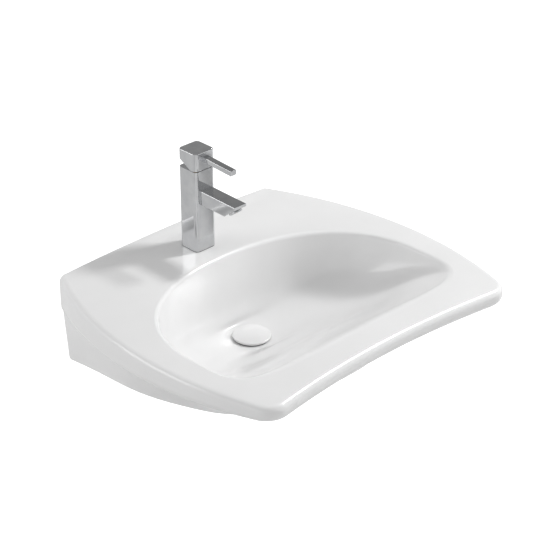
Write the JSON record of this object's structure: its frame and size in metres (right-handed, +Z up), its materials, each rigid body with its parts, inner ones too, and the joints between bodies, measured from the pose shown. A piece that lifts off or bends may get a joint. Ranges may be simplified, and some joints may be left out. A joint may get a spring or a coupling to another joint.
{
  "type": "wall-hung basin",
  "caption": "Wall-hung basin with an arched D-shaped bowl, bowed sides, a hollow front edge and a skirted underside, with a square lever mixer tap and a push waste.",
  "frame": {"origin": "midway between the two wall fixing holes, in the plane of the wall", "axes": "+X to the right as seen from the room, -Y out of the wall, +Z up"},
  "size_m": [0.6626, 0.5725, 0.4859],
  "materials": {
    "glazed_china": "white gloss glaze",
    "chrome_plate": "polished chrome on brass",
    "brass": "turned",
    "rubber": "moulded",
    "moulding": "moulded acetal",
    "disc_ceramic": "lapped alumina",
    "steel": "zinc plated or stainless"
  },
  "bodies": {
    "basin": {"basin": "glazed_china", "tap_body": "chrome_plate", "collar_ring": "chrome_plate", "aerator_housing": "chrome_plate", "waste_body": "chrome_plate", "waste_tail": "chrome_plate", "cartridge_nut": "brass", "fixing_nut": "brass", "waste_backnut": "brass", "tap_base_gasket": "rubber", "cartridge_seals": "rubber", "aerator_washer": "rubber", "horseshoe_gasket": "rubber", "waste_top_seal": "rubber", "waste_lower_seal": "rubber", "waste_tail_seal": "rubber", "cartridge_base": "moulding", "cartridge_housing": "moulding", "aerator_insert": "moulding", "click_barrel": "moulding", "waste_washer": "moulding", "fixed_disc": "disc_ceramic", "fixing_stud": "steel", "horseshoe_plate": "steel", "click_spring": "steel"},
    "turret": {"turning_ring": "moulding", "stem_pin": "steel"},
    "handle": {"cartridge_stem": "brass", "handle_head": "chrome_plate", "lever_bar": "chrome_plate", "handle_screw": "steel"},
    "disc": {"moving_disc": "disc_ceramic", "disc_carrier": "moulding"},
    "cover": {"waste_cover": "glazed_china", "cover_holder": "moulding", "cover_seal": "rubber"}
  },
  "joints": [
    {"name": "temperature_turn", "type": "hinge", "parent": "basin", "child": "turret", "pos_m": [0, -0.0834, 0.221], "axis": [0, 0, 1], "range_deg": [-50, 50]},
    {"name": "flow_lift", "type": "hinge", "parent": "turret", "child": "handle", "pos_m": [0, -0.0834, 0.221], "axis": [-1, 0, 0], "range_deg": [0, 15]},
    {"name": "disc_slide", "type": "slide", "parent": "turret", "child": "disc", "axis": [0, -1, 0], "range_m": [0, 0.0021]},
    {"name": "waste_press", "type": "slide", "parent": "basin", "child": "cover", "axis": [0, 0, 1], "range_m": [0, 0.008], "deforming": ["click_spring"]}
  ],
  "couplings": [
    {"joint": "disc_slide", "follows": "flow_lift", "m_per_rad": 0.0075}
  ]
}
